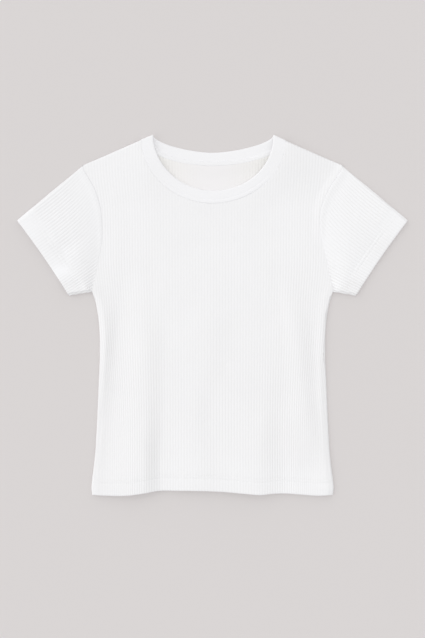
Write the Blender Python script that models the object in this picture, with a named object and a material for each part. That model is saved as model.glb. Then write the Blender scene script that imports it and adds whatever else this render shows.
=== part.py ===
"""Short-sleeved t-shirt in ribbed knit, laid flat and face up on a level surface.

Five cut pieces, each its own closed wall of cloth: the back panel on the surface, the
front panel on top of it, two sleeves that are flattened tubes, and a folded neckband
that runs round the neck opening and folds over at the two shoulder ends.
+X is the wearer's left sleeve side, +Y runs from the hem to the neck, +Z is up.
Metres. The origin is the middle of the outline, on the surface.
"""
import math
from collections import namedtuple

import bmesh
import bpy
from mathutils import Vector

# The cloth.
WALL = 0.0012
LAYER_GAP = 0.0004
SEAM_GAP = 0.0003
ARMHOLE_GAP = 0.0005
LAYER_STEP = WALL + LAYER_GAP
TURN_RADIUS = LAYER_STEP / 2
EDGE_HEIGHT = 0.0040
STACK_HEIGHT = 4 * WALL + 3 * LAYER_GAP
UP = Vector((0, 0, 1))

# The body panels.
UNDERARM_Y = 0.0354
SHOULDER_X = 0.2015
SHOULDER_Y = 0.2292
SHOULDER_SLOPE = math.radians(23.2)
HEM_DEPTH = 0.022
HEM_RAMP = 0.035
EDGE_RUN = 0.0030
EDGE_ROLL_REACH = 0.009
SEAM_ROUNDING = 0.008

# The neck: the highest points of the neckband's two edges, where it folds over.
NECK_SEAM_X, NECK_SEAM_Y = 0.1100, 0.2684
NECK_FREE_X, NECK_FREE_Y = 0.0910, 0.2756
NECK_LIFT_REACH = 0.035

# The sleeves.
CUFF_TOP = Vector((0.3004, 0.1452, 0))
CUFF_BOTTOM = Vector((0.2204, 0.0295, 0))
CUFF_BOW = 0.0018
CUFF_DEPTH = 0.020

Width = namedtuple("Width", "y half_width")
SIDE_LINE = [
    Width(-0.2777, 0.1845),
    Width(-0.2700, 0.1860),
    Width(-0.2540, 0.1850),
    Width(-0.2230, 0.1813),
    Width(-0.1620, 0.1774),
    Width(-0.1000, 0.1748),
    Width(-0.0600, 0.1732),
    Width(-0.0080, 0.1752),
    Width(0.0200, 0.1797),
    Width(0.0280, 0.1816),
    Width(0.0354, 0.1848),
    Width(0.0550, 0.1808),
    Width(0.0800, 0.1765),
    Width(0.1100, 0.1702),
    Width(0.1400, 0.1688),
    Width(0.1660, 0.1708),
    Width(0.1900, 0.1785),
    Width(0.2130, 0.1915),
    Width(0.2292, 0.2015),
]

Edge = namedtuple("Edge", "x y")
HEM_LINE = [
    Edge(-0.1860, -0.2765),
    Edge(-0.1600, -0.2777),
    Edge(-0.1300, -0.2772),
    Edge(-0.1050, -0.2738),
    Edge(-0.0850, -0.2704),
    Edge(-0.0550, -0.2700),
    Edge(0.0120, -0.2714),
    Edge(0.0550, -0.2750),
    Edge(0.0730, -0.2763),
    Edge(0.0950, -0.2744),
    Edge(0.1120, -0.2743),
    Edge(0.1350, -0.2759),
    Edge(0.1600, -0.2777),
    Edge(0.1860, -0.2765),
]

# Soft ridges of the front panel, which run from the chest to the hem.
Fold = namedtuple("Fold", "x_top x_hem y_top y_end half_width height")
FRONT_FOLDS = [
    Fold(-0.1160, -0.1120, 0.075, -0.330, 0.017, 0.0028),
    Fold(-0.0420, -0.0340, 0.050, -0.330, 0.026, 0.0032),
    Fold(0.0600, 0.0620, 0.030, -0.330, 0.017, 0.0030),
    Fold(0.1200, 0.1260, 0.040, -0.250, 0.018, 0.0028),
]
SLEEVE_FOLD_HEIGHT = 0.0016

# A quarter of a rounded neckline: from the middle of the neck to the shoulder end.
Arc = namedtuple("Arc", "half_width depth roundness shoulder_y")
FRONT_SEAM = Arc(NECK_SEAM_X, 0.0969, 1.95, NECK_SEAM_Y)
FRONT_FREE = Arc(NECK_FREE_X, 0.0845, 1.96, NECK_FREE_Y)
BACK_SEAM = Arc(NECK_SEAM_X, 0.0391, 1.83, NECK_SEAM_Y)
BACK_FREE = Arc(NECK_FREE_X, 0.0262, 1.60, NECK_FREE_Y)
FRONT_NECK_ANGLES = [0, 9, 18, 27, 36, 45, 54, 63, 72, 81, 90]
BACK_NECK_ANGLES = [0, 15, 30, 45, 60, 72, 81, 90]

# How the panels are divided.
SHOULDER_SHARES = [0.0, 0.18, 0.42, 0.66, 0.84]
CURL_STEPS = [0, 1 / 3, 2 / 3, 1]
TURN_ANGLES = [60, 120, 180]
SIDE_ROWS = [-0.2200, -0.1800, -0.1300, -0.0800, -0.0300, 0.0080, UNDERARM_Y - SEAM_ROUNDING]
ARMHOLE_ROWS = [UNDERARM_Y, 0.0410, 0.0620, 0.0900, 0.1180, 0.1450, 0.1700, 0.1950, 0.2225]


def smoothstep(value, low, high):
    """0 below low, 1 above high, and an even S-curve between them."""
    share = min(max((value - low) / (high - low), 0), 1)
    return share * share * (3 - 2 * share)


def smooth_value(rows, at):
    """Value at a place on the smooth curve through a table of (place, value) rows."""
    if at <= rows[0][0]:
        return rows[0][1]
    if at >= rows[-1][0]:
        return rows[-1][1]
    last = len(rows) - 1
    slopes = []
    for i in range(len(rows)):
        before, after = rows[max(i - 1, 0)], rows[min(i + 1, last)]
        slopes.append((after[1] - before[1]) / (after[0] - before[0]))
    i = max(k for k in range(last) if rows[k][0] <= at)
    run = rows[i + 1][0] - rows[i][0]
    t = (at - rows[i][0]) / run
    start = rows[i][1] * (1 + 2 * t) * (1 - t) ** 2 + slopes[i] * run * t * (1 - t) ** 2
    end = rows[i + 1][1] * t * t * (3 - 2 * t) - slopes[i + 1] * run * t * t * (1 - t)
    return start + end


def half_width(y):
    """Half the width of a body panel: to the side seam, and above it to the armhole."""
    return smooth_value(SIDE_LINE, y)


def shoulder_y(x):
    """The shoulder's outline at a distance x from the middle."""
    return SHOULDER_Y + (SHOULDER_X - x) * math.tan(SHOULDER_SLOPE)


def neckline(arc, angle, outset=0.0):
    """A point of a neckline, at an angle from the middle of the neck."""
    power = 2 / arc.roundness
    across = math.sin(math.radians(angle)) ** power
    down = max(math.cos(math.radians(angle)), 0) ** power
    x = (arc.half_width + outset) * across
    return Vector((x, arc.shoulder_y - (arc.depth + outset) * down, 0))


def hem_share(x, y):
    """1 over the turned-up hem, falling to 0 further up the panel."""
    return 1 - smoothstep(y - smooth_value(HEM_LINE, x), HEM_DEPTH, HEM_DEPTH + HEM_RAMP)


def neck_share(x, y):
    """1 at the shoulder end of the neckband, where it is folded double, and 0 away from it."""
    distance = math.hypot(abs(x) - NECK_SEAM_X, y - NECK_SEAM_Y)
    return 1 - smoothstep(distance, 0.004, NECK_LIFT_REACH)


def edge_height(x, y):
    """Height of the garment's rolled outer edge."""
    rise = STACK_HEIGHT - EDGE_HEIGHT
    return EDGE_HEIGHT + rise * max(hem_share(x, y), neck_share(x, y))


def edge_roll(distance):
    """How much of the edge's extra height is left at a distance from it."""
    return math.exp(-(max(distance - EDGE_RUN, 0) / EDGE_ROLL_REACH) ** 2)


def fold_height(x, y):
    """Lift of the front panel's soft ridges."""
    lift = 0
    for fold in FRONT_FOLDS:
        along = (fold.y_top - y) / (fold.y_top - SIDE_LINE[0].y)
        middle = fold.x_top + (fold.x_hem - fold.x_top) * along
        length = smoothstep(-y, -fold.y_top, 0.12 - fold.y_top)
        length *= smoothstep(y, fold.y_end, fold.y_end + 0.05)
        lift += fold.height * length * math.exp(-((x - middle) / fold.half_width) ** 2)
    return lift


def front_height(x, y):
    """Height of the middle of the front panel's wall above the surface."""
    side = math.hypot(half_width(y) - abs(x), max(y - UNDERARM_Y, 0))
    shoulder = (shoulder_y(abs(x)) - y) * math.cos(SHOULDER_SLOPE)
    roll = max(edge_roll(side), edge_roll(shoulder) if abs(x) > NECK_SEAM_X else 0)
    lying = LAYER_STEP + WALL / 2
    hem = hem_share(x, y)
    neck = neck_share(x, y) * (STACK_HEIGHT - EDGE_HEIGHT)
    edge = EDGE_HEIGHT - WALL / 2 - lying
    calm = 1 - max(edge_roll(side - 0.012), edge_roll(shoulder - 0.012))
    lift = hem * (2 * LAYER_STEP) + (1 - hem) * edge * roll + neck + calm * fold_height(x, y)
    return lying + lift


def make_piece(name, grid, closed, colour):
    """A closed wall of cloth from a grid of (middle, normal) pairs, row by row."""
    mesh = bmesh.new()
    outer = [[mesh.verts.new(p + n * WALL / 2) for p, n in row] for row in grid]
    inner = [[mesh.verts.new(p - n * WALL / 2) for p, n in row] for row in grid]
    columns = len(grid[0])
    spans = columns if closed else columns - 1
    for i in range(len(grid) - 1):
        for j in range(spans):
            k = (j + 1) % columns
            mesh.faces.new((outer[i][j], outer[i][k], outer[i + 1][k], outer[i + 1][j]))
            mesh.faces.new((inner[i][j], inner[i + 1][j], inner[i + 1][k], inner[i][k]))
    for row in (0, len(grid) - 1):
        for j in range(spans):
            k = (j + 1) % columns
            mesh.faces.new((outer[row][j], inner[row][j], inner[row][k], outer[row][k]))
    if not closed:
        for column in (0, columns - 1):
            for i in range(len(grid) - 1):
                mesh.faces.new((outer[i][column], outer[i + 1][column],
                                inner[i + 1][column], inner[i][column]))
    finish_piece(name, mesh, colour)


def finish_piece(name, mesh, colour):
    """Turns a bmesh into the named object with its own material."""
    bmesh.ops.recalc_face_normals(mesh, faces=mesh.faces)
    data = bpy.data.meshes.new(name)
    mesh.to_mesh(data)
    mesh.free()
    data.shade_smooth()
    data.set_sharp_from_angle(angle=math.radians(50))
    material = bpy.data.materials.new(name + "_cloth")
    material.use_nodes = True
    shader = material.node_tree.nodes["Principled BSDF"]
    shader.inputs["Base Color"].default_value = colour
    shader.inputs["Roughness"].default_value = 0.92
    shader.inputs["Metallic"].default_value = 0.0
    data.materials.append(material)
    piece = bpy.data.objects.new(name, data)
    bpy.context.scene.collection.objects.link(piece)


# A column of a body panel: its share of the half width, where it ends, and, beside the
# side seam, how far round the rolled edge it lies.
Column = namedtuple("Column", "share top on_shoulder curl")


def panel_columns(seam, angles):
    """Columns of a panel from the middle to its right side."""
    columns = []
    for angle in angles:
        top = neckline(seam, angle, SEAM_GAP)
        columns.append(Column(top.x / half_width(top.y), top.y, False, None))
    neck_end = NECK_SEAM_X + 0.0019
    for share in SHOULDER_SHARES:
        x = neck_end + (SHOULDER_X - neck_end) * share
        columns.append(Column(x / SHOULDER_X, shoulder_y(x), True, None))
    for curl in CURL_STEPS:
        columns.append(Column(1, SHOULDER_Y, True, curl))
    return columns


def panel_point(layer, column, side, y, shoulder_curl):
    """Middle and outward normal of a panel's wall; layer is 1 for front, -1 for back."""
    x = column.share * half_width(y)
    turn = 0
    if column.curl is not None:
        height = edge_height(half_width(y), y)
        radius = (height - WALL) / 2
        sewn = 1 - smoothstep(y, UNDERARM_Y - SEAM_ROUNDING, UNDERARM_Y)
        turn = column.curl * math.pi / 2
        rolled = WALL / 2 + radius * (1 - math.sin(turn))
        cut = EDGE_RUN * (1 - column.curl)
        x -= sewn * rolled + (1 - sewn) * cut
        turn *= sewn
    bend = max(turn, shoulder_curl)
    height = edge_height(x, y)
    drop = ((height - WALL) / 2 - SEAM_GAP / 2) * (1 - math.cos(bend))
    z = front_height(side * x, y) - drop if layer > 0 else WALL / 2 + drop
    if turn >= shoulder_curl:
        away = Vector((side, 0, 0))
    else:
        away = Vector((side * math.sin(SHOULDER_SLOPE), math.cos(SHOULDER_SLOPE), 0))
    normal = away * math.sin(bend) + UP * layer * math.cos(bend)
    return Vector((side * x, y, z)), normal


def panel_row(layer, columns, place):
    """One row of a panel, from its left edge to its right edge."""
    row = []
    for side, half in ((-1, columns[:0:-1]), (1, columns)):
        for column in half:
            row.append(place(layer, column, side))
    return row


def make_panel(name, layer, columns, colour):
    """A body panel: turned-up hem, fold, rows to the neckline, rolled shoulder edge."""
    fold_start = WALL / 2 + TURN_RADIUS

    def hem_point(distance, angle):
        def place(layer, column, side):
            x = side * column.share * half_width(SIDE_LINE[0].y)
            y = smooth_value(HEM_LINE, x) + distance
            middle, normal = panel_point(layer, column, side, y, 0)
            bend = math.radians(angle)
            middle -= normal * TURN_RADIUS * (1 - math.cos(bend))
            middle.y -= TURN_RADIUS * math.sin(bend)
            turned = normal * math.cos(bend)
            turned.y -= math.sin(bend)
            return middle, turned
        return place

    def body_point(station):
        def place(layer, column, side):
            x = side * column.share * half_width(SIDE_LINE[0].y)
            low = smooth_value(HEM_LINE, x) + HEM_DEPTH
            high = column.top - EDGE_RUN / math.cos(SHOULDER_SLOPE)
            side_low = smooth_value(HEM_LINE, side * half_width(SIDE_LINE[0].y)) + HEM_DEPTH
            side_high = SHOULDER_Y - EDGE_RUN / math.cos(SHOULDER_SLOPE)
            share = (station - side_low) / (side_high - side_low)
            y = station if column.share == 1 else low + (high - low) * share
            return panel_point(layer, column, side, y, 0)
        return place

    def top_point(curl):
        def place(layer, column, side):
            if not column.on_shoulder:
                y = column.top - EDGE_RUN * (1 - curl)
                return panel_point(layer, column, side, y, 0)
            x = column.share * SHOULDER_X
            radius = (edge_height(x, column.top) - WALL) / 2
            turn = curl * math.pi / 2
            inward = WALL / 2 + radius * (1 - math.sin(turn))
            y = column.top - inward / math.cos(SHOULDER_SLOPE)
            return panel_point(layer, column, side, y, turn)
        return place

    rows = [hem_point(HEM_DEPTH, 180), hem_point(fold_start, 180)]
    rows += [hem_point(fold_start, angle) for angle in reversed(TURN_ANGLES[:-1])]
    rows += [hem_point(fold_start, 0), hem_point(HEM_DEPTH, 0)]
    rows += [body_point(y) for y in SIDE_ROWS + ARMHOLE_ROWS]
    rows += [top_point(curl) for curl in CURL_STEPS]
    make_piece(name, [panel_row(layer, columns, place) for place in rows], False, colour)


def sleeve_ring(side, along, distance, fold_angle):
    """One ring of a sleeve: upper cloth, fold at the top, under cloth, underarm fold.

    along runs from 0 at the armhole to 1 at the top of the turned-in cuff, and distance
    is what is left from there to the cuff's edge.
    """
    lift = smoothstep(along, 0, 1)
    height = EDGE_HEIGHT + (STACK_HEIGHT - EDGE_HEIGHT) * lift
    radius = (height - WALL) / 2
    reach = SHOULDER_Y - UNDERARM_Y
    cuff_line = CUFF_BOTTOM - CUFF_TOP
    outward = Vector((-cuff_line.y, cuff_line.x, 0)).normalized()
    top_edge = Vector((SHOULDER_X, SHOULDER_Y, 0)) - CUFF_TOP
    underarm_edge = Vector((half_width(UNDERARM_Y), UNDERARM_Y, 0)) - CUFF_BOTTOM
    top_away = Vector((top_edge.y, -top_edge.x, 0)).normalized()
    under_away = Vector((-underarm_edge.y, underarm_edge.x, 0)).normalized()
    ring_top = CUFF_TOP - top_edge * distance / top_edge.dot(outward)
    ring_bottom = CUFF_BOTTOM - underarm_edge * distance / underarm_edge.dot(outward)
    width = reach + ((ring_bottom - ring_top).length - reach) * along

    def place(t, z, normal):
        y = SHOULDER_Y - reach * t
        armhole = Vector((half_width(y) + ARMHOLE_GAP, y, 0))
        bow = CUFF_BOW * 4 * t * (1 - t)
        cuff = ring_top.lerp(ring_bottom, t) - outward * bow
        middle = armhole.lerp(cuff, along)
        middle.z = z
        bend = math.radians(fold_angle)
        middle -= normal * TURN_RADIUS * (1 - math.cos(bend))
        middle += outward * TURN_RADIUS * math.sin(bend)
        turned = normal * math.cos(bend) + outward * math.sin(bend)
        for vector in (middle, turned):
            vector.x *= side
        return middle, turned

    shares = [(SHOULDER_Y - y) / reach for y in ARMHOLE_ROWS[1:]]
    lying = LAYER_STEP + WALL / 2
    ring = []
    for t in shares:
        roll = max(edge_roll(t * width), edge_roll((1 - t) * width))
        roll *= (1 - lift) * (EDGE_HEIGHT - WALL / 2 - lying)
        crease = SLEEVE_FOLD_HEIGHT * math.sin(math.pi * along) * math.sin(math.pi * t) ** 2
        ring.append(place(t, lying + 2 * LAYER_STEP * lift + roll + crease, UP.copy()))
    for angle in (0, 30, 60, 90, 120, 150, 180):
        turn = math.radians(angle)
        t = (WALL / 2 + radius * (1 - math.sin(turn))) / width
        normal = top_away * math.sin(turn) + UP * math.cos(turn)
        ring.append(place(t, height / 2 + radius * math.cos(turn), normal))
    for t in reversed(shares):
        ring.append(place(t, WALL / 2, -UP))
    for angle in (180, 150, 120, 90, 60, 30, 0):
        turn = math.radians(angle)
        t = 1 - (WALL / 2 + radius * (1 - math.sin(turn))) / width
        normal = under_away * math.sin(turn) + UP * math.cos(turn)
        ring.append(place(t, height / 2 + radius * math.cos(turn), normal))
    return ring


def make_sleeve(name, side, colour):
    """A flattened tube with its cuff turned inside."""
    fold_start = WALL / 2 + TURN_RADIUS
    rings = [sleeve_ring(side, along, CUFF_DEPTH, 0) for along in (0, 0.3, 0.65, 1)]
    rings.append(sleeve_ring(side, 1, fold_start, 0))
    rings += [sleeve_ring(side, 1, fold_start, angle) for angle in TURN_ANGLES]
    rings.append(sleeve_ring(side, 1, CUFF_DEPTH, 180))
    make_piece(name, rings, True, colour)


def make_neckband(name, colour):
    """A strip folded along its length, swept round the neck and over both shoulder ends."""
    half = WALL + LAYER_GAP / 2
    slit = LAYER_GAP / 2
    front_low = WALL + LAYER_GAP + half
    front_high = 3 * half + LAYER_GAP
    fold_radius = (front_high - half) / 2
    seam_end = Vector((NECK_SEAM_X, NECK_SEAM_Y, 0))
    free_end = Vector((NECK_FREE_X, NECK_FREE_Y, 0))
    end_line = (free_end - seam_end).normalized()
    end_away = Vector((end_line.y, -end_line.x, 0))

    stations = []
    for angle in FRONT_NECK_ANGLES:
        rise = smoothstep(angle, 18, 54)
        z = front_low + (front_high - front_low) * rise
        seam, free = neckline(FRONT_SEAM, angle), neckline(FRONT_FREE, angle)
        stations.append((seam + UP * z, free + UP * z, UP))
    for angle in (30, 60, 90, 120, 150):
        turn = math.radians(angle)
        normal = end_away * math.sin(turn) + UP * math.cos(turn)
        shift = normal * fold_radius + UP * (half + fold_radius)
        stations.append((seam_end + shift, free_end + shift, normal))
    for angle in reversed(BACK_NECK_ANGLES):
        seam, free = neckline(BACK_SEAM, angle), neckline(BACK_FREE, angle)
        stations.append((seam + UP * half, free + UP * half, -UP))
    left = [tuple(Vector((-v.x, v.y, v.z)) for v in s) for s in stations[-2:0:-1]]
    stations += left

    mesh = bmesh.new()
    loops = []
    for seam, free, normal in stations:
        width = (free - seam).length
        across = (free - seam) / width
        outline = [(0, -half), (0.35 * width, -half), (width - half, -half)]
        for angle in (-60, -30, 0, 30, 60):
            turn = math.radians(angle)
            outline.append((width - half + half * math.cos(turn), half * math.sin(turn)))
        outline += [(width - half, half), (0.35 * width, half), (0, half)]
        outline += [(0, slit), (0.35 * width, slit), (width - half, slit)]
        outline += [(width - half + slit, 0)]
        outline += [(width - half, -slit), (0.35 * width, -slit), (0, -slit)]
        loops.append([mesh.verts.new(seam + across * a + normal * b) for a, b in outline])
    for i, loop in enumerate(loops):
        following = loops[(i + 1) % len(loops)]
        for j in range(len(loop)):
            k = (j + 1) % len(loop)
            mesh.faces.new((loop[j], loop[k], following[k], following[j]))
    finish_piece(name, mesh, colour)


for item in list(bpy.data.objects):
    bpy.data.objects.remove(item, do_unlink=True)

CLOTH_WHITE = (0.86, 0.86, 0.85, 1)
BAND_WHITE = (0.84, 0.84, 0.83, 1)
make_panel("back", -1, panel_columns(BACK_SEAM, BACK_NECK_ANGLES), CLOTH_WHITE)
make_panel("front", 1, panel_columns(FRONT_SEAM, FRONT_NECK_ANGLES), CLOTH_WHITE)
make_sleeve("sleeve_left", -1, CLOTH_WHITE)
make_sleeve("sleeve_right", 1, CLOTH_WHITE)
make_neckband("neckband", BAND_WHITE)
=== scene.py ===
import math
from collections import namedtuple

import bpy
import numpy as np
from mathutils import Matrix, Vector


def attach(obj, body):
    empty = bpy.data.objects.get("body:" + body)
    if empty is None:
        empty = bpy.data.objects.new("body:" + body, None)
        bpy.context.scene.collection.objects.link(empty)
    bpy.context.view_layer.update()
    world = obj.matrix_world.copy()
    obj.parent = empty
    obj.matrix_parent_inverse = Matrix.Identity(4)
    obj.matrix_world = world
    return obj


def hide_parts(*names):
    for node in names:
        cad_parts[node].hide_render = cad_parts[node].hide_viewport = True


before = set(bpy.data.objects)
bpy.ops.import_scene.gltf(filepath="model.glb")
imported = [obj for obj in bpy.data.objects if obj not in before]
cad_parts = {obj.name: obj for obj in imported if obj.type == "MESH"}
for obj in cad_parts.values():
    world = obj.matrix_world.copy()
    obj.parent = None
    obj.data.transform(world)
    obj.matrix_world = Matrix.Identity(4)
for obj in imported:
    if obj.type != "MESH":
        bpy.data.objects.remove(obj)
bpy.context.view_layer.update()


# ---- Back panel -------------------------------------------------------------------------
# One piece of white cotton rib knit that lies on the table, face down. It is hollowed at
# the armholes and the neck, and its bottom edge is turned up inside and coverstitched.

WALL = 0.0012                      # the cloth's thickness, without its ribs
LAYER_STEP = 0.0016                # from one lying layer to the next
TURN_RADIUS = LAYER_STEP / 2       # where cloth is turned over flat on itself
TURN_START = WALL / 2 + TURN_RADIUS    # how far inside the edge it starts to turn
TABLE_CLEAR = 0.00003              # the lowest cloth lies just above the table
EDGE_HEIGHT = 0.0040               # the garment's rolled outer edge
SHOULDER_HEIGHT = 0.0031           # the shoulders are pressed flatter
EDGE_BULGE = 0.0018                # how far the rolled shoulder rounds out
EDGE_RUN, EDGE_REACH = 0.003, 0.009    # the roll's crest, and how soon it falls off inside it
LEFT_PUFF, RIGHT_PUFF = 0.0016, 0.0028     # the fullest part of the side folds
HEM_HEIGHT = 0.0060                # four layers of cloth lie on each other at the hem
HEM_DEPTH = 0.0235
HEM_RAMP = 0.150                   # the hem's extra height dies out over this length
NECK_LIFT = 0.0074                 # the folded neckband props the front up at both ends
NECK_END_X, NECK_END_Y = 0.100, 0.268
NECK_LIFT_REACH = 0.105
BACK_NECK_RISE = 0.0024            # the back's neckline lies on the band
NECK_RISE_REACH = 0.014
ARMHOLE_PULL = 0.0042              # the right sleeve pulls its armhole in
ARMHOLE_EASE = 0.0015              # the left armhole lies a little further out
UNDERARM_Y = 0.0354
SHOULDER_X, SHOULDER_Y = 0.2015, 0.2292
SHOULDER_SLOPE = math.radians(23.2)

Width = namedtuple("Width", "y half_width")
SIDE_LINE = [
    Width(-0.2777, 0.1845), Width(-0.2700, 0.1860), Width(-0.2540, 0.1850),
    Width(-0.2230, 0.1813), Width(-0.1620, 0.1774), Width(-0.1000, 0.1748),
    Width(-0.0600, 0.1732), Width(-0.0080, 0.1752), Width(0.0200, 0.1797),
    Width(0.0280, 0.1816), Width(0.0354, 0.1848), Width(0.0550, 0.1808),
    Width(0.0800, 0.1765), Width(0.1100, 0.1702), Width(0.1400, 0.1688),
    Width(0.1660, 0.1708), Width(0.1900, 0.1785), Width(0.2130, 0.1915),
    Width(0.2292, 0.2015),
]
Edge = namedtuple("Edge", "x y")
HEM_LINE = [
    Edge(-0.1860, -0.2765), Edge(-0.1600, -0.2777), Edge(-0.1300, -0.2772),
    Edge(-0.1050, -0.2738), Edge(-0.0850, -0.2704), Edge(-0.0550, -0.2700),
    Edge(0.0120, -0.2714), Edge(0.0550, -0.2750), Edge(0.0730, -0.2763),
    Edge(0.0950, -0.2744), Edge(0.1120, -0.2743), Edge(0.1350, -0.2759),
    Edge(0.1600, -0.2777), Edge(0.1860, -0.2765),
]
# The two needle rows of a coverstitch: how far in from the edge they run, and how deep
# they draw the cloth in.
NeedleRow = namedtuple("NeedleRow", "inset depth")
HEM_ROWS = [NeedleRow(0.0195, 0.0005), NeedleRow(0.0245, 0.0002)]
NEEDLE_REACH = 0.0011

# A rounded neckline: an arc from its middle to each shoulder end. The neck lies pulled a
# little to the right.
Arc = namedtuple("Arc", "half_width depth roundness shoulder_y")
Neckline = namedtuple("Neckline", "left right")
FRONT_SEAM = Neckline(Arc(0.1092, 0.0973, 1.95, 0.2688), Arc(0.1125, 0.0959, 1.95, 0.2674))
FRONT_FREE = Neckline(Arc(0.0910, 0.0845, 1.94, 0.2756), Arc(0.0934, 0.0845, 2.07, 0.2756))
BACK_SEAM = Neckline(Arc(0.1092, 0.0395, 1.83, 0.2688), Arc(0.1125, 0.0381, 1.83, 0.2674))
BACK_FREE = Neckline(Arc(0.0910, 0.0262, 1.60, 0.2756), Arc(0.0934, 0.0262, 1.60, 0.2756))

RIB_PITCH = 0.0046
RIB_DEPTH = 0.00016                # from a rib's crest to the valley beside it
BACK_RIBS = 2.0                    # the back's ribs are this many times as deep
# How far the outer ribs have drawn in, from none at the shoulder to all at the hem.
Lean = namedtuple("Lean", "y share")
RIB_LEAN = [
    Lean(-0.280, 1.00), Lean(-0.170, 0.99), Lean(-0.015, 0.62), Lean(0.020, 0.56),
    Lean(0.080, 0.36), Lean(0.110, 0.35), Lean(0.140, 0.33), Lean(0.170, 0.28),
    Lean(0.205, 0.10), Lean(0.235, 0.00),
]
RIB_DRAW = 0.028                   # at RIB_DRAW_AT from the middle
RIB_DRAW_AT = 0.180
RIB_DRAW_GROWTH = 2.5              # the middle ribs stay upright


def smoothstep(value, low, high):
    """0 below low, 1 above high, and an even S-curve between them."""
    share = np.clip((value - low) / (high - low), 0, 1)
    return share * share * (3 - 2 * share)


def bump(offset, width):
    """A soft hump, 1 in its middle."""
    return np.exp(-(offset / width) ** 2)


def smooth_value(rows, at):
    """Values on the smooth curve through a table of (place, value) rows."""
    place, value = np.array(rows, float).T
    slope = np.gradient(value, place)
    at = np.clip(at, place[0], place[-1])
    i = np.clip(np.searchsorted(place, at) - 1, 0, len(place) - 2)
    run = place[i + 1] - place[i]
    t = (at - place[i]) / run
    start = value[i] * (1 + 2 * t) * (1 - t) ** 2 + slope[i] * run * t * (1 - t) ** 2
    return start + value[i + 1] * t * t * (3 - 2 * t) - slope[i + 1] * run * t * t * (1 - t)


def half_width(y, side=0):
    """Half a body panel's width: to the side seam, and above it to the armhole.

    side is 1 on the right and -1 on the left. With 0 the armhole lies as it was cut.
    """
    pulled = np.where(side > 0, -ARMHOLE_PULL * bump(y - 0.150, 0.042),
                      ARMHOLE_EASE * bump(y - 0.165, 0.032))
    return smooth_value(SIDE_LINE, y) + np.abs(side) * pulled


def hem_y(x):
    """Height of the bottom edge."""
    return smooth_value(HEM_LINE, x)


def shoulder_y(x):
    """The shoulder's outline at a distance x from the middle."""
    return SHOULDER_Y + (SHOULDER_X - np.abs(x)) * math.tan(SHOULDER_SLOPE)


def neckline_y(arc, x):
    """Height of a neckline at a distance from the middle."""
    share = np.clip(np.abs(x) / arc.half_width, 0, 1) ** arc.roundness
    return arc.shoulder_y - arc.depth * (1 - share) ** (1 / arc.roundness)


def from_neckline(line, x, y):
    """Distance outwards from a neckline."""

    def from_arc(arc):
        drop = np.maximum(arc.shoulder_y - y, 0)
        scale = (np.abs(x) / arc.half_width) ** arc.roundness
        scale = scale + (drop / arc.depth) ** arc.roundness
        return np.hypot(x, drop) * (1 - np.maximum(scale, 0.01) ** (-1 / arc.roundness))

    return np.where(x > 0, from_arc(line.right), from_arc(line.left))


def hem_share(x, y):
    """1 over the turned-up hem, falling to 0 further up the panel."""
    return 1 - smoothstep(y - hem_y(x), HEM_DEPTH, HEM_DEPTH + HEM_RAMP)


def neck_lift(x, y):
    """How far the folded neckband holds the front up beside the neck."""
    distance = np.hypot(np.abs(x) - NECK_END_X, y - NECK_END_Y)
    return NECK_LIFT * (1 - smoothstep(distance, 0.010, NECK_LIFT_REACH))


def needle_dent(inset, rows=HEM_ROWS):
    """How far a coverstitch draws the cloth in, at a distance from the edge."""
    return sum(row.depth * bump(inset - row.inset, NEEDLE_REACH) for row in rows)


def side_puff(x, y):
    """Extra height of the side folds, where the front's flutes run out over them."""
    return np.where(x > 0, RIGHT_PUFF * bump(y + 0.035, 0.060), LEFT_PUFF * bump(y + 0.045, 0.050))


def pressed_edge(y):
    """Height of the plain outer edge, which is flatter towards the shoulders."""
    return EDGE_HEIGHT - (EDGE_HEIGHT - SHOULDER_HEIGHT) * smoothstep(y, 0.15, 0.21)


def edge_height(x, y):
    """Height of the garment's rolled outer edge."""
    fold = (HEM_HEIGHT - EDGE_HEIGHT) * hem_share(x, y) + neck_lift(x, y) + side_puff(x, y)
    return pressed_edge(y) + fold - needle_dent(y - hem_y(x))


def edge_radius(x, y):
    """Radius at which the middle of the wall rolls over at the outer edge."""
    return (edge_height(x, y) - WALL) / 2


def edge_roll(distance):
    """How much of the edge's extra height is left at a distance from it."""
    return bump(np.maximum(distance - EDGE_RUN, 0), EDGE_REACH)


def drawn_in(rib, y):
    """How far a rib has drawn in towards the middle, where it passes a height."""
    return RIB_DRAW * smooth_value(RIB_LEAN, y) * (rib / RIB_DRAW_AT) ** RIB_DRAW_GROWTH


def body_rib(x, y):
    """Which rib of the body a point lies on, as a distance from the middle rib."""
    rib = np.abs(x)
    for _ in range(12):            # each round comes closer to the rib that ends up at x
        rib = np.abs(x) + drawn_in(rib, y)
    return np.sign(x) * rib


def wall_normals(middle, closed):
    """Unit normals of a grid of points, from its neighbours along rows and columns."""
    down = np.gradient(middle, axis=0)
    if closed:
        padded = np.concatenate([middle[:, -1:], middle, middle[:, :1]], axis=1)
        across = np.gradient(padded, axis=1)[:, 1:-1]
    else:
        across = np.gradient(middle, axis=1)
    normal = np.cross(across, down)
    return normal / np.linalg.norm(normal, axis=2, keepdims=True)


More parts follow.
